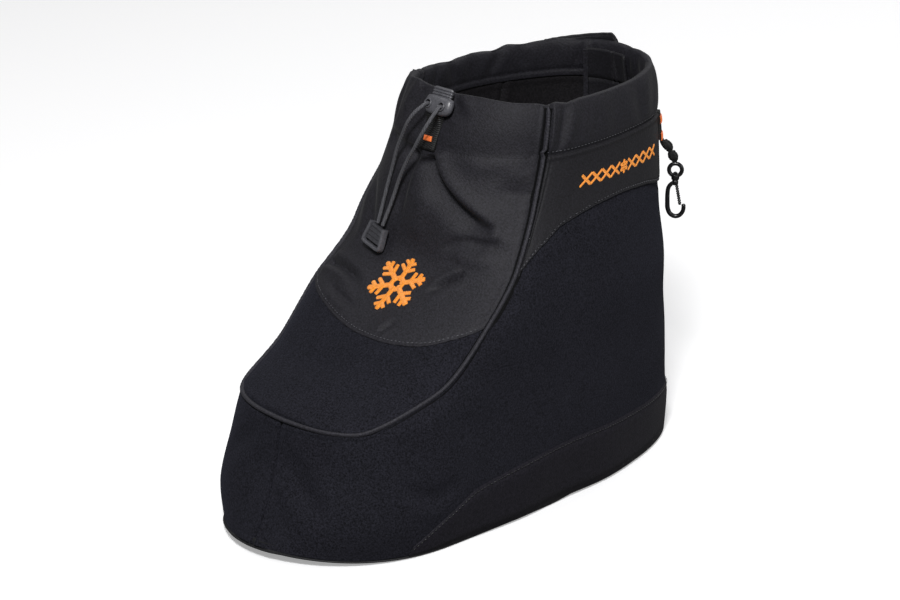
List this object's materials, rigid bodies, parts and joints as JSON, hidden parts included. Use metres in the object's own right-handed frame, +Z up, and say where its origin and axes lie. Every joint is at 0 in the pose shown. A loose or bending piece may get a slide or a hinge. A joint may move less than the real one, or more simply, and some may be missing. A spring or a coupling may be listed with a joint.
{
  "type": "winter overshoe",
  "caption": "Insulated winter overshoe: hollow textile upper with raised seam and rear flap, drawcord with cord lock at the collar, snap hook on a swivel, thin grooved sole.",
  "frame": {"origin": "on the sole's underside, on the floor, at the middle of the sole", "axes": "+Y towards the heel, +X towards the outer side of the foot, +Z up"},
  "size_m": [0.1726, 0.3615, 0.2757],
  "materials": {
    "shell": "brushed fleece, very dark navy",
    "woven": "black woven softshell",
    "lining": "dark woven lining",
    "sole": "matte rubberised sheet",
    "webbing": "black nylon webbing and cord",
    "cord": "mid grey braided cord",
    "grey_plastic": "moulded mid grey",
    "black_plastic": "moulded black",
    "thread": "orange stitched bars"
  },
  "bodies": {
    "overshoe": {"upper": "shell", "outsole": "sole", "insole": "lining", "piping": "woven", "heel_band": "woven", "rear_flap": "woven", "anchor_tab": "webbing", "anchor_bar_tack": "thread", "cord_lock_body": "grey_plastic", "drawcord_inner": "cord", "drawcord_outer": "cord", "cord_end_clip": "grey_plastic", "rear_webbing": "webbing", "rear_bar_tack_upper": "thread", "rear_bar_tack_lower": "thread", "hook_cord": "webbing", "swivel_eye": "black_plastic"},
    "lock_button": {"cord_lock_button": "grey_plastic"},
    "hook": {"snap_hook": "black_plastic"}
  },
  "joints": [
    {"name": "button_press", "type": "slide", "parent": "overshoe", "child": "lock_button", "axis": [0, -0.4384, -0.8988], "range_m": [0, 0.003], "stiffness_N_per_m": 300, "springref_m": -0.003},
    {"name": "hook_swivel", "type": "hinge", "parent": "overshoe", "child": "hook", "pos_m": [0.05636, 0.14843, 0.19], "axis": [0, 0, 1], "continuous": true}
  ]
}
